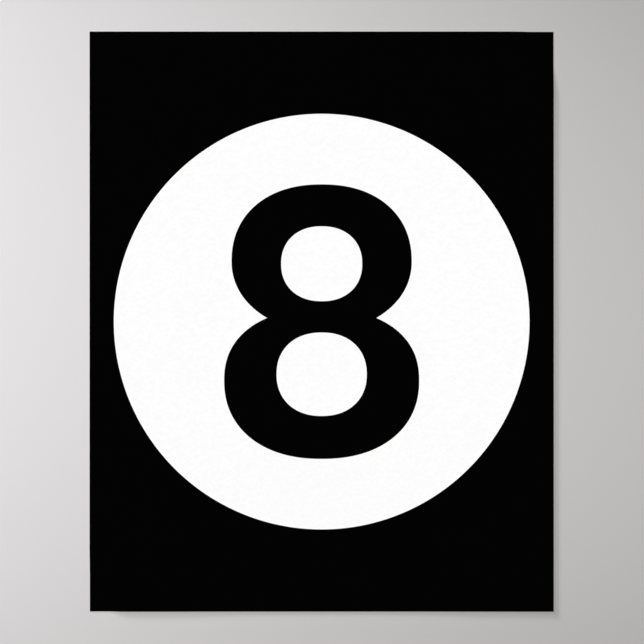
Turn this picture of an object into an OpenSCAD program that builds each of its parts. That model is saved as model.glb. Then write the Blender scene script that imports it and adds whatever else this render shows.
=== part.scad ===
// Wall poster print: a black sheet with a white disc and a plain figure 8, held off the wall
// by square foam mounting pads.
// Frame: +Z is up, the printed front faces -Y, and the wall is the plane Y = 0. The origin is
// the middle of the centre pad's face against the wall, behind the middle of the sheet.
// All lengths are in millimetres.

/* [Sheet] */
// Width of the sheet
sheet_w = 406.4; // [376:0.2:500]
// Height of the sheet
sheet_h = 508; // [420:0.5:640]
// Thickness of the base paper
paper_t = 0.25; // [0.15:0.01:0.5]
// Thickness of the bright white coat that takes the ink
coat_t = 0.03; // [0.02:0.005:0.08]
// Thickness of the printed ink
ink_t = 0.04; // [0.02:0.005:0.08]

/* [Disc] */
// Diameter of the white disc left open in the black ground
disc_d = 364; // [310:1:390]

/* [Figure 8] */
// Height of the figure, from its top to its foot
figure_h = 240.4; // [210:0.2:290]
// Width of the upper lobe
upper_lobe_w = 157.8; // [130:0.1:185]
// Width of the lower lobe
lower_lobe_w = 170.8; // [140:0.1:200]
// Height of the upper lobe's widest line above the middle of the figure
upper_wide_z = 52.4; // [44:0.1:62]
// Depth of the lower lobe's widest line below the middle of the figure
lower_wide_z = 51.3; // [42:0.1:60]
// Height of the waist stroke's centre line above the middle of the figure
waist_z = 4.2; // [-4:0.1:10]
// How far the upper lobe's curve would run on below the waist's centre line
upper_lobe_reach = 12.7; // [6:0.1:20]
// How far the lower lobe's curve would run on above the waist's centre line
lower_lobe_reach = 7.2; // [4:0.1:14]
// Stroke across the top
top_stroke = 36.7; // [26:0.1:46]
// Stroke across the foot
foot_stroke = 37.6; // [26:0.1:46]
// Stroke across the waist, between the two counters
waist_stroke = 27.4; // [18:0.1:38]
// Stroke at each side of the upper lobe
upper_side_stroke = 43.4; // [32:0.1:52]
// Stroke at each side of the lower lobe
lower_side_stroke = 45.9; // [34:0.1:56]
// Squareness of the curves at the top and the foot, where 2 is an ellipse
end_squareness = 2.22; // [2:0.01:2.8]
// Squareness of the upper lobe's curve where it comes in to the waist
upper_waist_squareness = 2.06; // [2:0.01:2.6]
// Squareness of the lower lobe's curve where it comes in to the waist
lower_waist_squareness = 2.26; // [2:0.01:2.6]
// Squareness of the two counters
counter_squareness = 2.19; // [2:0.01:2.8]

/* [Mounting pads] */
// Side of each square pad
pad_w = 25.4; // [18:0.2:40]
// Radius of a pad's die-cut corners
pad_corner_r = 1.5; // [0.5:0.1:4]
// Thickness of a pad's foam core
foam_t = 3; // [1:0.1:6]
// Thickness of each adhesive film
adhesive_t = 0.1; // [0.05:0.01:0.3]
// Distance from the sheet's edges in to the centres of the outer pads
pad_inset = 50; // [22:1:80]

/* [Hidden] */
// Points round each curve of the figure
curve_points = 96;
// Facets asked of the disc's edge and of the pads' corners, which are true circles in the
// exact solid
disc_fn = 240;
corner_fn = 48;
full_turn = 360;

// Distance from the wall to the back of each layer
foam_y = adhesive_t;
sheet_film_y = foam_y + foam_t;
paper_y = sheet_film_y + adhesive_t;
coat_y = paper_y + paper_t;
ink_y = coat_y + coat_t;

// Heights on the figure, measured from its middle
figure_top = figure_h / 2;
figure_foot = -figure_h / 2;
upper_counter_top = figure_top - top_stroke;
upper_counter_foot = waist_z + waist_stroke / 2;
lower_counter_top = waist_z - waist_stroke / 2;
lower_counter_foot = figure_foot + foot_stroke;

// Each pad's name and its column and row: -1, 0 and 1 are left, middle and right, or foot,
// middle and top, as seen from the front
PADS = [
    ["top_left", -1, 1],
    ["top_right", 1, 1],
    ["middle_left", -1, 0],
    ["centre", 0, 0],
    ["middle_right", 1, 0],
    ["bottom_left", -1, -1],
    ["bottom_right", 1, -1]
];
pad_dx = sheet_w / 2 - pad_inset;
pad_dz = sheet_h / 2 - pad_inset;

SHEET_NODES = ["paper_sheet", "white_coat", "ground_ink", "figure_ink"];
PAD_LAYERS = ["wall_adhesive", "foam", "sheet_adhesive"];
PAD_NODES = [for (pad = PADS) for (layer = PAD_LAYERS) str(pad[0], "_", layer)];

// Signed power, which keeps the side of the axis that a point lies on
function signed_pow(v, p) = sign(v) * pow(abs(v), p);

// A closed curve of two superellipse halves that share one widest line. It is w wide there, at
// height wide, and its top and foot lie at the heights given. q_top and q_foot are the halves'
// squareness.
function lobe_points(w, wide, top, foot, q_top, q_foot) = [
    for (i = [0 : curve_points - 1])
        let (
            a = full_turn * i / curve_points,
            upper_half = a < full_turn / 2,
            q = upper_half ? q_top : q_foot,
            rise = upper_half ? top - wide : wide - foot
        )
        [w / 2 * signed_pow(cos(a), 2 / q), wide + rise * signed_pow(sin(a), 2 / q)]
];

// Stands a drawing up in the plane of the wall, with its back at distance y from the wall and
// its thickness t towards the front
module layer(y, t) {
    translate([0, -y, 0])
        rotate([90, 0, 0])
            linear_extrude(t)
                children();
}

module sheet_outline() {
    square([sheet_w, sheet_h], center = true);
}

module counter(w, top, foot) {
    middle = (top + foot) / 2;
    polygon(lobe_points(w, middle, top, foot, counter_squareness, counter_squareness));
}

module figure_outline() {
    difference() {
        union() {
            polygon(lobe_points(upper_lobe_w, upper_wide_z, figure_top,
                waist_z - upper_lobe_reach, end_squareness, upper_waist_squareness));
            polygon(lobe_points(lower_lobe_w, -lower_wide_z, waist_z + lower_lobe_reach,
                figure_foot, lower_waist_squareness, end_squareness));
        }
        counter(upper_lobe_w - 2 * upper_side_stroke, upper_counter_top, upper_counter_foot);
        counter(lower_lobe_w - 2 * lower_side_stroke, lower_counter_top, lower_counter_foot);
    }
}

// Square with rounded corners, as a cutting die leaves it
module pad_outline(pad) {
    straight = pad_w - 2 * pad_corner_r;
    translate([pad[1] * pad_dx, pad[2] * pad_dz]) {
        square([pad_w, straight], center = true);
        square([straight, pad_w], center = true);
        for (x = [-1, 1], z = [-1, 1])
            translate([x, z] * straight / 2)
                circle(pad_corner_r, $fn = corner_fn);
    }
}

// Base paper of the poster, square cut
module paper_sheet() {
    color("ivory")
        layer(paper_y, paper_t)
            sheet_outline();
}

// Bright matte coat over the whole front, which shows as the disc and the two counters
module white_coat() {
    color("white")
        layer(coat_y, coat_t)
            sheet_outline();
}

// Black ink from the sheet's edges in to the disc
module ground_ink() {
    color([0.03, 0.03, 0.03])
        layer(ink_y, ink_t)
            difference() {
                sheet_outline();
                circle(d = disc_d, $fn = disc_fn);
            }
}

// Black ink of the figure 8
module figure_ink() {
    color([0.04, 0.04, 0.04])
        layer(ink_y, ink_t)
            figure_outline();
}

// Adhesive film of a pad against the wall
module wall_adhesive(pad) {
    color("gainsboro")
        layer(0, adhesive_t)
            pad_outline(pad);
}

// Closed-cell foam core of a pad
module foam(pad) {
    color("whitesmoke")
        layer(foam_y, foam_t)
            pad_outline(pad);
}

// Adhesive film of a pad against the back of the paper
module sheet_adhesive(pad) {
    color("lightgray")
        layer(sheet_film_y, adhesive_t)
            pad_outline(pad);
}

paper_sheet();
white_coat();
ground_ink();
figure_ink();
for (pad = PADS) {
    wall_adhesive(pad);
    foam(pad);
    sheet_adhesive(pad);
}
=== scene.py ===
"""Looks of the wall poster: its thin sheet in layers, which leans back at two corners, the foam
pads behind it, and a studio wall with painted light and shade, a plain floor and light."""

import math

import bpy
import numpy as np
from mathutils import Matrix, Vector


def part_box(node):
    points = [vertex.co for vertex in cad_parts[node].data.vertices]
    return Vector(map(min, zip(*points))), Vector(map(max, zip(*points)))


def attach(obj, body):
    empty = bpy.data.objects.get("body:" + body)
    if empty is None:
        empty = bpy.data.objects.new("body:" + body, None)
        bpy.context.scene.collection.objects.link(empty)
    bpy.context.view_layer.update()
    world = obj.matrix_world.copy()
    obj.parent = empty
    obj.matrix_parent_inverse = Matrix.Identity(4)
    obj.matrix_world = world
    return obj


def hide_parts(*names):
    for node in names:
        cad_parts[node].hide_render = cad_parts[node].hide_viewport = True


MM = 0.001

# ---- the fixed frame -------------------------------------------------------------------

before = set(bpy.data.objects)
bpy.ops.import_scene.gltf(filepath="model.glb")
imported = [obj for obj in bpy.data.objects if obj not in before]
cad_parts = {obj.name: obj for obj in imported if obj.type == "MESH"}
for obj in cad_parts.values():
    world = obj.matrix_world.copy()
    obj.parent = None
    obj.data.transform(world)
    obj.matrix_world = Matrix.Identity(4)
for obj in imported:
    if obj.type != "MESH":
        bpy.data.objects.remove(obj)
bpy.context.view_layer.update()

PAPER_LOW, PAPER_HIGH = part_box("paper_sheet")
COAT_LOW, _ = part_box("white_coat")
INK_LOW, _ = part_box("ground_ink")
FIGURE_LOW, FIGURE_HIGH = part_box("figure_ink")

HALF_W = PAPER_HIGH.x
HALF_H = PAPER_HIGH.z
# Distances from the wall to the layers' faces, on the flat sheet
PAPER_BACK = -PAPER_HIGH.y
PAPER_FRONT = -PAPER_LOW.y
COAT_FRONT = -COAT_LOW.y
INK_FRONT = -INK_LOW.y

PAD_NAMES = sorted(node.removesuffix("_foam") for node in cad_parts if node.endswith("_foam"))
PAD_BOXES = {name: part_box(name + "_foam") for name in PAD_NAMES}

# ---- the print's own sizes -------------------------------------------------------------

DISC_R = 182 * MM
# The figure's height and its lower lobe's width are those of its box. The squareness of each
# curve is 2 for an ellipse and more for a squarer one
LOWER_LOBE_W = FIGURE_HIGH.x - FIGURE_LOW.x
UPPER_LOBE_W = 157.8 * MM
UPPER_WIDE_Z = 52.4 * MM
LOWER_WIDE_Z = -51.3 * MM
WAIST_Z = 4.2 * MM
UPPER_LOBE_REACH = 12.7 * MM
LOWER_LOBE_REACH = 7.2 * MM
TOP_STROKE = 36.7 * MM
FOOT_STROKE = 37.6 * MM
WAIST_STROKE = 27.4 * MM
UPPER_SIDE_STROKE = 43.4 * MM
LOWER_SIDE_STROKE = 45.9 * MM
END_SQUARENESS = 2.22
UPPER_WAIST_SQUARENESS = 2.06
LOWER_WAIST_SQUARENESS = 2.26
COUNTER_SQUARENESS = 2.19

# ---- how the sheet hangs ---------------------------------------------------------------

# Each corner that leans back to the wall beyond its pad: its sides in X and Z, how far the bend
# reaches along the edges from the corner, the share of that reach which lies back, and the drop
LEANING_CORNERS = [
    (1, 1, 35 * MM, 53 * MM, 0.5, 2.95 * MM),
    (-1, -1, 31 * MM, 58 * MM, 0.5, 2.95 * MM),
]
# The sag between the pads, how far from a pad it is at its deepest, and the cockle's depth, wave
# lengths and phases
SAG = 0.15 * MM
SAG_REACH = 60 * MM
COCKLE = 0.05 * MM
COCKLE_X = 118 * MM
COCKLE_Z = 143 * MM
COCKLE_PHASE_X = 1
COCKLE_PHASE_Z = 2
# The bottom edge bows back between its pads: how far, about which place across, how far out to
# each side of it, and how far up the sheet
BOW = 1.45 * MM
BOW_X = 25 * MM
BOW_HALF_W = 177 * MM
BOW_RISE = 190 * MM

# How far apart the sheet's points are where its corners bend and elsewhere, and how far in from
# the edges the close ones run
FINE = 1 * MM
COARSE = 8 * MM
BEND_ZONE_X = 36 * MM
BEND_ZONE_Z = 76 * MM


def smooth(t):
    """3 t squared less 2 t cubed between 0 and 1, and flat outside them."""
    t = np.clip(t, 0, 1)
    return t * t * (3 - 2 * t)


def from_pads(x, z):
    """The distance of each point from the outline of the nearest pad, 0 over a pad."""
    away = []
    for low, high in PAD_BOXES.values():
        out_x = np.maximum(np.maximum(low.x - x, x - high.x), 0)
        out_z = np.maximum(np.maximum(low.z - z, z - high.z), 0)
        away.append(np.hypot(out_x, out_z))
    return np.min(away, axis=0)


def lean(x, z):
    """How far the sheet lies back from its flat plane towards the wall, at each point.

    Between the pads it sags by a small smooth step of the distance from the nearest pad, with
    a low product of sines as cockle. The bottom edge bows back by a parabola across, which
    fades up the sheet by a smooth step. At a leaning corner the sheet drops by a smooth step
    of s, the sum of the distances from the corner's two edges, each over the bend's reach
    along it, so the bend's lines are straight, as paper bends.
    """
    loose = smooth(from_pads(x, z) / SAG_REACH)
    waves = np.sin(2 * math.pi * x / COCKLE_X + COCKLE_PHASE_X)
    waves *= np.sin(2 * math.pi * z / COCKLE_Z + COCKLE_PHASE_Z)
    across = np.clip(1 - ((x - BOW_X) / BOW_HALF_W) ** 2, 0, None)
    bow = BOW * across * (1 - smooth((z + HALF_H) / BOW_RISE))
    total = loose * (SAG + COCKLE * (1 + waves) / 2 + bow)
    for side_x, side_z, reach_x, reach_z, flat, drop in LEANING_CORNERS:
        s = (HALF_W - side_x * x) / reach_x + (HALF_H - side_z * z) / reach_z
        total += drop * (1 - smooth((s - flat) / (1 - flat)))
    return total


# ---- surfaces --------------------------------------------------------------------------


def finish_mesh(name, points, faces, sharp_deg=30):
    """A mesh object from its points and faces, smooth but for edges sharper than sharp_deg."""
    mesh = bpy.data.meshes.new(name)
    mesh.from_pydata(points.tolist(), [], faces)
    mesh.shade_smooth()
    mesh.set_sharp_from_angle(angle=math.radians(sharp_deg))
    mesh.update()
    piece = bpy.data.objects.new(name, mesh)
    bpy.context.scene.collection.objects.link(piece)
    return piece


def grid_quads(rows, columns, closed=False):
    """The quads of a grid of rows by columns points, whose columns join up when closed."""
    index = np.arange(rows * columns).reshape(rows, columns)
    if closed:
        index = np.hstack([index, index[:, :1]])
    corners = [index[:-1, :-1], index[:-1, 1:], index[1:, 1:], index[1:, :-1]]
    return np.stack(corners, -1).reshape(-1, 4)


def layer(name, flat, quads, back, front):
    """A thin layer of the sheet over a flat drawing.

    The drawing's points are (x, z) and its quads run anticlockwise seen from the front. The
    front face lies at y = lean - front and the back face at y = lean - back, and a wall of
    quads joins them along each edge that only one quad has.
    """
    count = len(flat)
    x, z = flat.T
    leaning = lean(x, z)
    front_points = np.stack([x, leaning - front, z], -1)
    back_points = np.stack([x, leaning - back, z], -1)
    starts = quads.ravel()
    ends = np.roll(quads, -1, axis=1).ravel()
    single = ~np.isin(starts * count + ends, ends * count + starts)
    a, b = starts[single], ends[single]
    walls = np.stack([a, a + count, b + count, b], -1)
    faces = np.vstack([quads, quads[:, ::-1] + count, walls])
    return finish_mesh(name, np.vstack([front_points, back_points]), faces.tolist())


def graded(half, zone):
    """Places from -half to half, FINE apart within zone of either end and COARSE between."""
    fine = np.linspace(half - zone, half, round(zone / FINE) + 1)
    coarse = np.linspace(zone - half, half - zone, round(2 * (half - zone) / COARSE) + 1)
    return np.concatenate([-fine[::-1], coarse[1:-1], fine])


def sheet_layer(name, back, front):
    """A full layer of the sheet: a grid of places across and up, closer in the bent corners."""
    across = graded(HALF_W, BEND_ZONE_X)
    up = graded(HALF_H, BEND_ZONE_Z)
    z, x = np.meshgrid(up, across, indexing="ij")
    flat = np.stack([x.ravel(), z.ravel()], -1)
    return layer(name, flat, grid_quads(len(up), len(across)), back, front)


def ring(inner, outer, shares):
    """Points and quads between two closed curves of as many points, at the given shares of the
    way from inner to outer. Both curves run anticlockwise seen from the front."""
    rows = inner + shares[:, None, None] * (outer - inner)
    quads = grid_quads(len(shares), len(inner), closed=True)
    return rows.reshape(-1, 2), quads[:, ::-1]


def ground_layer(name, back, front):
    """The black ground: rays from the disc's edge to the sheet's edges.

    The outer curve is the sheet's rectangle, with its corners among its points. Each inner
    point lies on the circle, in the direction of its outer one.
    """
    across = graded(HALF_W, BEND_ZONE_X)
    up = graded(HALF_H, BEND_ZONE_Z)
    outer = np.vstack([
        np.stack([across[:-1], np.full(len(across) - 1, -HALF_H)], -1),
        np.stack([np.full(len(up) - 1, HALF_W), up[:-1]], -1),
        np.stack([-across[:-1], np.full(len(across) - 1, HALF_H)], -1),
        np.stack([np.full(len(up) - 1, -HALF_W), -up[:-1]], -1),
    ])
    inner = DISC_R * outer / np.linalg.norm(outer, axis=1, keepdims=True)
    longest = math.hypot(HALF_W, HALF_H) - DISC_R
    bent = BEND_ZONE_X / longest
    shares = np.concatenate([
        np.linspace(0, 1 - bent, round(longest * (1 - bent) / COARSE) + 1)[:-1],
        np.linspace(1 - bent, 1, round(BEND_ZONE_X / FINE) + 1),
    ])
    flat, quads = ring(inner, outer, shares)
    return layer(name, flat, quads, back, front)


# ---- the figure 8 ----------------------------------------------------------------------

# Steps along each lobe's curve, along the chord across the waist and across the stroke, and the
# samples with which the notches are found
CURVE_STEPS = 160
CHORD_STEPS = 48
STROKE_STEPS = 8
NOTCH_SAMPLES = 4001

FIGURE_TOP = FIGURE_HIGH.z
FIGURE_FOOT = FIGURE_LOW.z


def superellipse(turn, width, wide, top, foot, q_top, q_foot):
    """Points at the angles turn, in radians, on two superellipse halves that share a widest
    line: x = half the width times cos to the power 2 / q, z = wide plus or less the rise
    times sin to the power 2 / q, each power keeping its sign."""
    upper = np.sin(turn) >= 0
    q = np.where(upper, q_top, q_foot)
    rise = np.where(upper, top - wide, wide - foot)
    x = width / 2 * np.sign(np.cos(turn)) * np.abs(np.cos(turn)) ** (2 / q)
    z = wide + rise * np.sign(np.sin(turn)) * np.abs(np.sin(turn)) ** (2 / q)
    return np.stack([x, z], -1)


def upper_lobe(turn):
    """The upper lobe's outline, run on below the waist."""
    foot = WAIST_Z - UPPER_LOBE_REACH
    return superellipse(
        turn, UPPER_LOBE_W, UPPER_WIDE_Z, FIGURE_TOP, foot, END_SQUARENESS, UPPER_WAIST_SQUARENESS
    )


def lower_lobe(turn):
    """The lower lobe's outline, run on above the waist."""
    top = WAIST_Z + LOWER_LOBE_REACH
    return superellipse(
        turn, LOWER_LOBE_W, LOWER_WIDE_Z, top, FIGURE_FOOT, LOWER_WAIST_SQUARENESS, END_SQUARENESS
    )


def counter(turn, width, top, foot):
    """A counter's outline: one superellipse, widest half way up."""
    middle = (top + foot) / 2
    return superellipse(turn, width, middle, top, foot, COUNTER_SQUARENESS, COUNTER_SQUARENESS)


def notch_turns():
    """The angles on the two lobes' curves at the right-hand notch, where they cross: both are
    sampled finely on their inner quarters, and the heights where their widths agree are read
    off by interpolation."""
    quarter = np.linspace(0, math.pi / 2, NOTCH_SAMPLES)
    above = upper_lobe(-quarter)
    below = lower_lobe(quarter)
    heights = np.linspace(above[-1, 1], below[-1, 1], NOTCH_SAMPLES)
    above_x = np.interp(heights, above[::-1, 1], above[::-1, 0])
    below_x = np.interp(heights, below[:, 1], below[:, 0])
    notch_z = np.interp(0, above_x - below_x, heights)
    upper_turn = -np.interp(notch_z, above[::-1, 1], quarter[::-1])
    lower_turn = np.interp(notch_z, below[:, 1], quarter)
    return upper_turn, lower_turn


def half_figure(outline, counter_curve, start, end):
    """One half of the figure, between its counter and its lobe's outline closed by the chord
    across the waist. start and end are the outline's angles at the notches, anticlockwise."""
    turns = np.linspace(start, end, CURVE_STEPS + 1)
    curve = outline(turns)
    chord = np.linspace(curve[-1], curve[0], CHORD_STEPS + 1)[1:-1]
    outer = np.vstack([curve, chord])
    middle = counter_curve(np.array([0, math.pi])).mean(axis=0)
    to_start, to_end = curve[0] - middle, curve[-1] - middle
    first = math.atan2(to_start[1], to_start[0])
    last = first + (math.atan2(to_end[1], to_end[0]) - first) % (2 * math.pi)
    inner_turns = np.concatenate([
        np.linspace(first, last, CURVE_STEPS + 1),
        np.linspace(last, first + 2 * math.pi, CHORD_STEPS + 1)[1:-1],
    ])
    return ring(counter_curve(inner_turns), outer, np.linspace(0, 1, STROKE_STEPS + 1))


def weld(flat, quads, apart=1e-7):
    """Makes points that lie on each other one point, by rounding their places to apart."""
    _, first, same = np.unique(
        np.round(flat / apart).astype(np.int64), axis=0, return_index=True, return_inverse=True
    )
    return flat[first], same.ravel()[quads]


def figure_layer(name, back, front):
    """The figure 8: its two halves side by side, welded along the chord that they share."""
    upper_turn, lower_turn = notch_turns()
    upper_flat, upper_quads = half_figure(
        upper_lobe,
        lambda turn: counter(
            turn,
            UPPER_LOBE_W - 2 * UPPER_SIDE_STROKE,
            FIGURE_TOP - TOP_STROKE,
            WAIST_Z + WAIST_STROKE / 2,
        ),
        upper_turn,
        math.pi - upper_turn,
    )
    lower_flat, lower_quads = half_figure(
        lower_lobe,
        lambda turn: counter(
            turn,
            LOWER_LOBE_W - 2 * LOWER_SIDE_STROKE,
            WAIST_Z - WAIST_STROKE / 2,
            FIGURE_FOOT + FOOT_STROKE,
        ),
        math.pi - lower_turn,
        2 * math.pi + lower_turn,
    )
    flat = np.vstack([upper_flat, lower_flat])
    quads = np.vstack([upper_quads, lower_quads + len(upper_flat)])
    flat, quads = weld(flat, quads)
    return layer(name, flat, quads, back, front)


# ---- the foam pads ---------------------------------------------------------------------

PAD_CORNER_R = 1.5 * MM
# Points round a foam core, steps through it, and where its flat faces' rings lie between the
# middle and the side
PAD_AROUND = 192
FOAM_STEPS = 12
FACE_SHARES = np.array([0.25, 0.5, 0.75, 0.9])
# How far the side pulls in at the films, and how deep the cut cells leave it ragged
FOAM_PULL_IN = 0.25 * MM
FOAM_RAGGED = 0.06 * MM
# The waves of the cut cells: how many go round the side, how many go through it, how far in
# radians the first lean over from film to film, and how far the second drift in one turn, which
# is a whole wave so that the side closes
FOAM_CELLS_AROUND = 37
FOAM_CELLS_THROUGH = 3
FOAM_CELLS_LEAN = 3
FOAM_CELLS_DRIFT = 2 * math.pi


def rounded_square(share, half, corner_r):
    """Points at the given shares of the way round a square with rounded corners.

    The path has four equal quarters. Each is a straight side and then a quarter circle, and
    the point's share of that quarter's length says where it is on them. A quarter is drawn
    for the right-hand side going up, then turned by a quarter turn for each one before it.
    """
    side = 2 * (half - corner_r)
    quarter_length = side + math.pi / 2 * corner_r
    which, along = np.divmod(share * 4, 1)
    along = along * quarter_length
    angle = np.clip((along - side) / corner_r, 0, None)
    straight = np.minimum(along, side) - side / 2
    x = half - corner_r + corner_r * np.cos(angle)
    z = straight + corner_r * np.sin(angle)
    turn = which * math.pi / 2
    return x * np.cos(turn) - z * np.sin(turn), x * np.sin(turn) + z * np.cos(turn)


def foam_core(name, low, high, phase):
    """A die-cut square of foam between its two adhesive films.

    The side is the rounded square carried from the wall's face to the sheet's. Its half width
    is the pad's, less a pull-in that is largest at both films and fades to none half way
    through, as foam under slight pressure bulges. Two sines, one round and one through the
    side, make it ragged by the open cells that the cut went through, and the phase, in
    radians, moves both, so that no two cores are cut alike. The flat faces are the same
    outline drawn in to a pole at the middle.
    """
    half = (high.x - low.x) / 2
    through = np.linspace(0, 1, FOAM_STEPS + 1)
    depth = high.y + through * (low.y - high.y)
    around = np.linspace(0, 1, PAD_AROUND, endpoint=False)
    t, s = np.meshgrid(through, around, indexing="ij")
    pull = FOAM_PULL_IN * (2 * t - 1) ** 2
    cells = np.sin(2 * math.pi * FOAM_CELLS_AROUND * s + phase + FOAM_CELLS_LEAN * t)
    cells *= np.sin(2 * math.pi * FOAM_CELLS_THROUGH * t + phase + FOAM_CELLS_DRIFT * s)
    inward = pull + FOAM_RAGGED * (1 + cells) / 2
    x, z = rounded_square(s, half, PAD_CORNER_R)
    scale = (half - inward) / half
    x, z = x * scale, z * scale
    y = np.broadcast_to(depth[:, None], x.shape)
    side = np.stack([x, y, z], -1)
    shares = FACE_SHARES[:, None, None]
    back = side[0] * [1, 0, 1] * shares + [0, depth[0], 0]
    front = side[-1] * [1, 0, 1] * shares[::-1] + [0, depth[-1], 0]
    rows = np.concatenate([back, side, front])
    points = np.vstack([rows.reshape(-1, 3), [0, depth[0], 0], [0, depth[-1], 0]])
    points += [(low.x + high.x) / 2, 0, (low.z + high.z) / 2]
    quads = grid_quads(len(rows), PAD_AROUND, closed=True)
    ring_index = np.arange(PAD_AROUND)
    after = np.roll(ring_index, -1)
    back_pole, front_pole = len(points) - 2, len(points) - 1
    last = (len(rows) - 1) * PAD_AROUND
    back_fan = np.stack([np.full(PAD_AROUND, back_pole), after, ring_index], -1)
    front_fan = np.stack([np.full(PAD_AROUND, front_pole), last + ring_index, last + after], -1)
    faces = quads.tolist() + back_fan.tolist() + front_fan.tolist()
    return finish_mesh(name, points, faces)


# ---- materials -------------------------------------------------------------------------

# The value of a pattern up to which a finish is at its darkest, and the value from which it has
# its full colour
DARKEST_TO = 0.3
FULL_FROM = 0.7

# The print: the size of the paper's tooth and its scale across, through and up, the size of the
# coat's finer grain and of the clouds in the coat's and the ink's sheen, and how high they stand
TOOTH_SIZE = 2.4 * MM
TOOTH_STRETCH = (0.8, 1, 1.1)
GRAIN_SIZE = 0.4 * MM
COAT_CLOUD_SIZE = 35 * MM
INK_CLOUD_SIZE = 18 * MM
COAT_TOOTH_HEIGHT = 0.12 * MM
COAT_GRAIN_HEIGHT = 0.02 * MM
INK_TOOTH_HEIGHT = 0.05 * MM
WHITE_COAT = (0.988, 0.988, 0.987)
BLACK_INK = (0.0003, 0.0003, 0.0003)

# The paper's back: its clouds, and its fibres, which run long upwards
PAPER_CLOUD_SIZE = 9 * MM
PAPER_CLOUD_HEIGHT = 0.03 * MM
FIBRE_SIZE = 1.6 * MM
FIBRE_STRETCH = (1, 1, 0.4)
FIBRE_HEIGHT = 0.06 * MM
BARE_PAPER = (0.87, 0.862, 0.83)

# The foam: its cells, the wider lumps under them, and its colour in a cell's middle and between
# the cells, with where each is reached on the way from one to the other
FOAM_CELL_SIZE = 0.45 * MM
FOAM_CELL_HEIGHT = 0.12 * MM
FOAM_LUMP_SIZE = 1.5 * MM
FOAM_LUMP_HEIGHT = 0.05 * MM
FOAM_MIDDLE = (0.1, (0.89, 0.89, 0.87))
FOAM_BETWEEN = (0.8, (0.74, 0.74, 0.71))

# The adhesive: its patches and bubbles, and its colour in the patches and outside them
PATCH_SIZE = 6 * MM
PATCH_HEIGHT = 0.06 * MM
BUBBLE_SIZE = 0.9 * MM
BUBBLE_HEIGHT = 0.05 * MM
FILM_PALE = (0.35, (0.77, 0.755, 0.685))
FILM_DEEP = (0.65, (0.71, 0.69, 0.61))


class Finish:
    """A material's node tree, with short ways to add the nodes that the finishes share."""

    def __init__(self, name):
        self.material = bpy.data.materials.new(name)
        self.material.use_nodes = True
        self.tree = self.material.node_tree
        self.shader = self.tree.nodes["Principled BSDF"]
        self.output = self.tree.nodes["Material Output"]
        self.place = self.node("ShaderNodeTexCoord").outputs["Object"]

    def node(self, kind, **settings):
        """A new node with its properties set."""
        made = self.tree.nodes.new(kind)
        for key, value in settings.items():
            setattr(made, key, value)
        return made

    def link(self, source, target):
        self.tree.links.new(source, target)

    def stretched(self, scale):
        """The place, scaled by three factors, so that a pattern runs long in one direction."""
        mapping = self.node("ShaderNodeMapping")
        mapping.inputs["Scale"].default_value = scale
        self.link(self.place, mapping.inputs["Vector"])
        return mapping.outputs["Vector"]

    def noise(self, size, detail=2, roughness=0.5, place=None):
        """Noise whose coarsest lumps are about size across."""
        made = self.node("ShaderNodeTexNoise")
        made.inputs["Scale"].default_value = 1 / size
        made.inputs["Detail"].default_value = detail
        made.inputs["Roughness"].default_value = roughness
        self.link(place or self.place, made.inputs["Vector"])
        return made.outputs["Fac"]

    def cells(self, size):
        """The distance from the middle of each of the cells, which are about size across."""
        made = self.node("ShaderNodeTexVoronoi", feature="F1")
        made.inputs["Scale"].default_value = 1 / size
        self.link(self.place, made.inputs["Vector"])
        return made.outputs["Distance"]

    def ramp(self, value, stops):
        """The value through a ramp of (position, colour) stops."""
        made = self.node("ShaderNodeValToRGB")
        elements = made.color_ramp.elements
        while len(elements) < len(stops):
            elements.new(1)
        for element, (position, colour) in zip(elements, stops):
            element.position = position
            element.color = (*colour, 1)
        self.link(value, made.inputs["Fac"])
        return made.outputs["Color"]

    def spread(self, value, low, high):
        """The value from 0 to 1, carried to run from low to high."""
        made = self.node("ShaderNodeMapRange")
        made.inputs["To Min"].default_value = low
        made.inputs["To Max"].default_value = high
        self.link(value, made.inputs["Value"])
        return made.outputs["Result"]

    def bump(self, *heights):
        """Bumps from (height, distance) pairs, each on top of the one before."""
        normal = None
        for height, distance in heights:
            made = self.node("ShaderNodeBump")
            made.inputs["Distance"].default_value = distance
            self.link(height, made.inputs["Height"])
            if normal:
                self.link(normal, made.inputs["Normal"])
            normal = made.outputs["Normal"]
        self.link(normal, self.shader.inputs["Normal"])

    def colour(self, source):
        self.link(source, self.shader.inputs["Base Color"])

    def roughness(self, source):
        self.link(source, self.shader.inputs["Roughness"])

    def specular(self, level):
        self.shader.inputs["Specular IOR Level"].default_value = level


def shades(colour, darker):
    """Two ramp stops: the colour darkened by a share, and the colour itself."""
    return [(DARKEST_TO, [c * (1 - darker) for c in colour]), (FULL_FROM, colour)]


def tooth(finish):
    """The paper's tooth: small soft lumps, a little wider than they are tall."""
    return finish.noise(TOOTH_SIZE, detail=0.5, place=finish.stretched(TOOTH_STRETCH))


def coat_finish():
    """Bright matte coat with the tooth of inkjet paper, and a much finer grain within it."""
    finish = Finish("matte_white_coat")
    lumps = tooth(finish)
    grain = finish.noise(GRAIN_SIZE, detail=2)
    clouds = finish.noise(COAT_CLOUD_SIZE, detail=3)
    # Painted shade of the tooth: the coat's white is darker in the tooth's hollows, where the
    # same lumps lie low in the bump
    finish.colour(finish.ramp(lumps, shades(WHITE_COAT, darker=0.029)))
    finish.roughness(finish.spread(clouds, low=0.76, high=0.9))
    finish.specular(0.2)
    finish.bump((lumps, COAT_TOOTH_HEIGHT), (grain, COAT_GRAIN_HEIGHT))
    return finish.material


def ink_finish():
    """Deep matte black pigment that keeps some of the coat's tooth."""
    finish = Finish("matte_black_ink")
    clouds = finish.noise(INK_CLOUD_SIZE, detail=4)
    finish.colour(finish.ramp(clouds, shades(BLACK_INK, darker=0.3)))
    finish.roughness(finish.spread(clouds, low=0.72, high=0.88))
    finish.specular(0.01)
    finish.bump((tooth(finish), INK_TOOTH_HEIGHT))
    return finish.material


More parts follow.
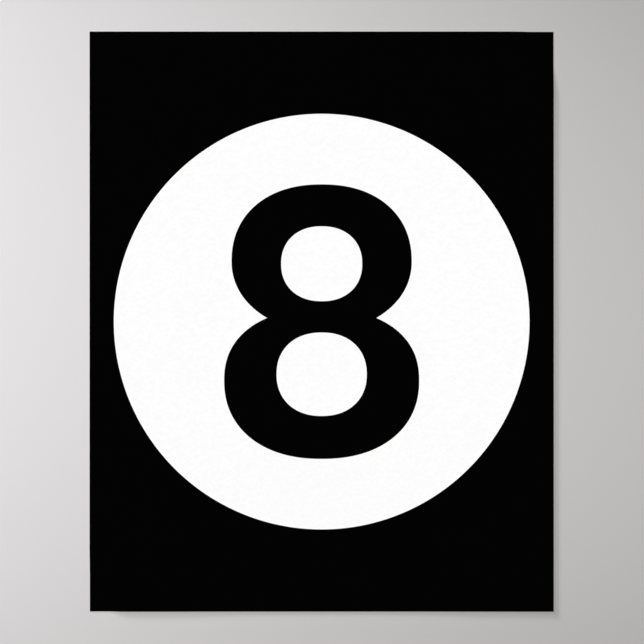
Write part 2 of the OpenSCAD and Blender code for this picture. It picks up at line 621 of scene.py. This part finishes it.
def paper_finish():
    """Uncoated back and cut edges of heavy paper: cloudy as it formed, with fine fibres."""
    finish = Finish("uncoated_paper_back")
    clouds = finish.noise(PAPER_CLOUD_SIZE, detail=3)
    along = finish.stretched(FIBRE_STRETCH)
    fibres = finish.noise(FIBRE_SIZE, detail=4, roughness=0.65, place=along)
    both = finish.node("ShaderNodeMix")
    finish.link(clouds, both.inputs["A"])
    finish.link(fibres, both.inputs["B"])
    finish.colour(finish.ramp(both.outputs["Result"], shades(BARE_PAPER, darker=0.06)))
    finish.roughness(finish.spread(fibres, low=0.85, high=0.97))
    finish.specular(0.25)
    finish.bump((clouds, PAPER_CLOUD_HEIGHT), (fibres, FIBRE_HEIGHT))
    return finish.material


def foam_finish():
    """White polyethylene foam with small closed cells, cut open along the sides."""
    finish = Finish("white_closed_cell_foam")
    cells = finish.cells(FOAM_CELL_SIZE)
    lumps = finish.noise(FOAM_LUMP_SIZE, detail=2)
    finish.colour(finish.ramp(cells, [FOAM_MIDDLE, FOAM_BETWEEN]))
    finish.roughness(finish.spread(cells, low=0.7, high=0.9))
    finish.bump((cells, FOAM_CELL_HEIGHT), (lumps, FOAM_LUMP_HEIGHT))
    return finish.material


def adhesive_finish():
    """Clear acrylic adhesive, wetted out in patches and with small trapped bubbles."""
    finish = Finish("acrylic_adhesive")
    patches = finish.noise(PATCH_SIZE, detail=4, roughness=0.6)
    bubbles = finish.cells(BUBBLE_SIZE)
    finish.colour(finish.ramp(patches, [FILM_PALE, FILM_DEEP]))
    finish.roughness(finish.spread(patches, low=0.1, high=0.32))
    finish.bump((bubbles, BUBBLE_HEIGHT), (patches, PATCH_HEIGHT))
    return finish.material


# ---- the poster ------------------------------------------------------------------------


def dress(piece, material, node):
    """The piece rides on the part's one body, stands for its CAD node and has its material."""
    piece.data.materials.append(material)
    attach(piece, "root")
    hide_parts(node)
    return piece


def make_sheet():
    """The sheet's four layers, from the paper out to the two printed ones."""
    paper = sheet_layer("paper_base", PAPER_BACK, PAPER_FRONT)
    dress(paper, paper_finish(), "paper_sheet")
    # The lamps behind the wall light the paper's back, and that light stays off the wall
    paper.visible_diffuse = False
    coat = sheet_layer("matte_coat", PAPER_FRONT, COAT_FRONT)
    dress(coat, coat_finish(), "white_coat")
    ink = ink_finish()
    ground = ground_layer("printed_ground", COAT_FRONT, INK_FRONT)
    dress(ground, ink, "ground_ink")
    figure = figure_layer("printed_eight", COAT_FRONT, INK_FRONT)
    dress(figure, ink, "figure_ink")


def make_pads():
    """A foam core of its own for each pad, between adhesive films that are the CAD's own."""
    foam = foam_finish()
    adhesive = adhesive_finish()
    for number, name in enumerate(PAD_NAMES):
        low, high = PAD_BOXES[name]
        core = foam_core(name + "_foam_core", low, high, phase=number)
        dress(core, foam, name + "_foam")
        for film in ("_wall_adhesive", "_sheet_adhesive"):
            for material_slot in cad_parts[name + film].material_slots:
                material_slot.material = adhesive


# ---- the wall, the floor and the light -------------------------------------------------

WALL_Y = 0.1 * MM
WALL_HALF_W = 1.2
WALL_TOP = 1.3
WALL_TOOTH_SIZE = 6 * MM
WALL_TOOTH_HEIGHT = 0.01 * MM
FLOOR_Z = -1.05
FLOOR_HALF = 5
FLOOR_CLOUD_SIZE = 0.4
PALE_FLOOR = (0.60, 0.595, 0.585)
PALE_BACKDROP = (0.66, 0.655, 0.645)

# The wall's grey at its middle, its slopes and its curves over x and z in metres, how far out
# from the middle they run, and how softly they end. The slopes and curves are painted light and
# shade: lighter to the left, with painted shade towards the right and towards the top and bottom
WALL_PAINTED_LIGHT_GREY = 0.630
WALL_SLOPE_X = -0.465
WALL_SLOPE_Z = 0.103
WALL_CURVE_X = 0.15
WALL_TWIST = -0.35
WALL_CURVE_Z = -1.02
WALL_LIMIT_X = 0.42
WALL_LIMIT_Z = 0.42
WALL_EASE = 0.12
# The wall's tint where its painted light is at a bright and at a dim level: warmer in the painted
# shade
BRIGHT_LEVEL = 0.7
PAINTED_LIGHT_TINT = (1.010, 0.990, 1.000)
DIM_LEVEL = 0.47
PAINTED_SHADE_TINT = (1.027, 0.9955, 0.978)

# The lamps: each one's name, the direction it stands in, its irradiance square on to it and how
# wide it looks in degrees. A window at the upper left, a dimmer room beside it and a frontal
# fill light the front, and two lamps behind the wall light the sheet's back, the pads' sides and
# the floor
LAMPS = [
    ("window", (-1.56, -1, 1.98), 1.51, 17),
    ("room", (-0.8, -1, 0.55), 0.75, 52),
    ("fill", (-0.05, -1, 0.04), 1.882, 6),
    ("back_right", (0.5, 1, 0.7), 2.4, 40),
    ("back_left", (-0.9, 0.5, 0.3), 2.0, 40),
]
AMBIENT = 0.06


def plate(name, corners):
    """A flat four-cornered surface that belongs to the stage."""
    made = finish_mesh(name, np.array(corners, float), [[0, 1, 2, 3]])
    return made


def wall_finish():
    """Smooth painted plaster, seen from the front only.

    Its grey is painted light and shade, the fall of a soft lamp at the left: a sum over x and z
    of the middle's, a slope times each, a curve times each square, and a twist times their
    product.
    It is held steady past the limits, and its tint is warmer in the painted shade.
    """
    finish = Finish("painted_wall")
    parts = finish.node("ShaderNodeSeparateXYZ")
    finish.link(finish.place, parts.inputs["Vector"])

    def maths(operation, *values):
        made = finish.node("ShaderNodeMath", operation=operation)
        for socket, value in zip(made.inputs, values):
            if isinstance(value, (int, float)):
                socket.default_value = value
            else:
                finish.link(value, socket)
        return made.outputs["Value"]

    def held(place, limit):
        above = maths("SMOOTH_MAX", place, -limit, WALL_EASE)
        return maths("SMOOTH_MIN", above, limit, WALL_EASE)

    x = held(parts.outputs["X"], WALL_LIMIT_X)
    z = held(parts.outputs["Z"], WALL_LIMIT_Z)
    # Painted light and shade: the grey falls off from the left as under a soft lamp
    grey = WALL_PAINTED_LIGHT_GREY
    for factor, first, second in (
        (WALL_SLOPE_X, x, 1),
        (WALL_SLOPE_Z, z, 1),
        (WALL_CURVE_X, x, x),
        (WALL_TWIST, x, z),
        (WALL_CURVE_Z, z, z),
    ):
        term = maths("MULTIPLY", maths("MULTIPLY", first, second), factor)
        grey = maths("ADD", term, grey)
    share = finish.node("ShaderNodeMapRange")
    share.inputs["From Min"].default_value = DIM_LEVEL
    share.inputs["From Max"].default_value = BRIGHT_LEVEL
    finish.link(grey, share.inputs["Value"])
    # The painted shade's warmer tint and the painted light's cooler one
    tint = finish.ramp(share.outputs["Result"], [(0, PAINTED_SHADE_TINT), (1, PAINTED_LIGHT_TINT)])
    tinted = finish.node("ShaderNodeVectorMath", operation="SCALE")
    finish.link(tint, tinted.inputs[0])
    finish.link(grey, tinted.inputs["Scale"])
    finish.colour(tinted.outputs["Vector"])
    finish.shader.inputs["Roughness"].default_value = 1
    finish.specular(0)
    finish.bump((finish.noise(WALL_TOOTH_SIZE, detail=4), WALL_TOOTH_HEIGHT))
    from_behind = finish.node("ShaderNodeNewGeometry").outputs["Backfacing"]
    clear = finish.node("ShaderNodeBsdfTransparent")
    mix = finish.node("ShaderNodeMixShader")
    finish.link(from_behind, mix.inputs["Fac"])
    finish.link(finish.shader.outputs["BSDF"], mix.inputs[1])
    finish.link(clear.outputs["BSDF"], mix.inputs[2])
    finish.link(mix.outputs["Shader"], finish.output.inputs["Surface"])
    return finish.material


def floor_finish():
    """Plain pale floor with a faint unevenness."""
    finish = Finish("pale_floor")
    clouds = finish.noise(FLOOR_CLOUD_SIZE, detail=3)
    finish.colour(finish.ramp(clouds, shades(PALE_FLOOR, darker=0.02)))
    finish.shader.inputs["Roughness"].default_value = 0.9
    finish.specular(0.1)
    return finish.material


def make_stage():
    """A wall panel close behind the pads, which neither shades nor lights the poster, and a
    floor, which doesn't light it."""
    wall = plate("wall_panel", [
        (-WALL_HALF_W, WALL_Y, FLOOR_Z),
        (WALL_HALF_W, WALL_Y, FLOOR_Z),
        (WALL_HALF_W, WALL_Y, WALL_TOP),
        (-WALL_HALF_W, WALL_Y, WALL_TOP),
    ])
    wall.data.materials.append(wall_finish())
    wall.visible_shadow = False
    wall.visible_diffuse = False
    wall.visible_glossy = False
    wall.visible_transmission = False
    floor = plate("studio_floor", [
        (-FLOOR_HALF, -FLOOR_HALF, FLOOR_Z),
        (FLOOR_HALF, -FLOOR_HALF, FLOOR_Z),
        (FLOOR_HALF, FLOOR_HALF, FLOOR_Z),
        (-FLOOR_HALF, FLOOR_HALF, FLOOR_Z),
    ])
    floor.data.materials.append(floor_finish())
    floor.visible_diffuse = False


def make_lamps():
    """Distant soft lamps, each turned to shine from its own direction."""
    for name, towards, irradiance, width_deg in LAMPS:
        light = bpy.data.lights.new(name, "SUN")
        light.energy = irradiance
        light.angle = math.radians(width_deg)
        lamp = bpy.data.objects.new(name, light)
        lamp.rotation_euler = Vector(towards).to_track_quat("Z", "Y").to_euler()
        bpy.context.scene.collection.objects.link(lamp)


def make_world():
    """A faint even light from all round, and a pale backdrop for the camera, gloss and glass."""
    world = bpy.data.worlds.new("studio")
    bpy.context.scene.world = world
    world.use_nodes = True
    nodes, links = world.node_tree.nodes, world.node_tree.links
    ambient = nodes["Background"]
    ambient.inputs["Color"].default_value = (1, 1, 1, 1)
    ambient.inputs["Strength"].default_value = AMBIENT
    backdrop = nodes.new("ShaderNodeBackground")
    backdrop.inputs["Color"].default_value = (*PALE_BACKDROP, 1)
    path = nodes.new("ShaderNodeLightPath")
    seen = path.outputs["Is Camera Ray"]
    for ray in ("Is Glossy Ray", "Is Transmission Ray"):
        either = nodes.new("ShaderNodeMath")
        either.operation = "MAXIMUM"
        links.new(seen, either.inputs[0])
        links.new(path.outputs[ray], either.inputs[1])
        seen = either.outputs["Value"]
    mix = nodes.new("ShaderNodeMixShader")
    links.new(seen, mix.inputs["Fac"])
    links.new(ambient.outputs["Background"], mix.inputs[1])
    links.new(backdrop.outputs["Background"], mix.inputs[2])
    links.new(mix.outputs["Shader"], nodes["World Output"].inputs["Surface"])


# ---- the camera ------------------------------------------------------------------------

# The lens and the sensor's width, both in millimetres as the camera takes them
LENS = 150
SENSOR = 36
SEEN_WIDTH = 563.8 * MM
# The camera stands this far from the sheet's middle across and up
CAMERA_X = 0.3 * MM
CAMERA_Z = -0.3 * MM


def make_camera():
    """A camera square on to the wall, far enough away to see SEEN_WIDTH at the sheet's front,
    with the plain view transform."""
    data = bpy.data.cameras.new("camera")
    data.lens = LENS
    data.sensor_width = SENSOR
    camera = bpy.data.objects.new("camera", data)
    away = SEEN_WIDTH * LENS / SENSOR
    camera.location = (CAMERA_X, -INK_FRONT - away, CAMERA_Z)
    camera.rotation_euler = (math.pi / 2, 0, 0)
    bpy.context.scene.collection.objects.link(camera)
    bpy.context.scene.camera = camera
    bpy.context.scene.view_settings.view_transform = "Standard"


make_camera()
make_sheet()
make_pads()
make_stage()
make_lamps()
make_world()

bpy.context.view_layer.update()
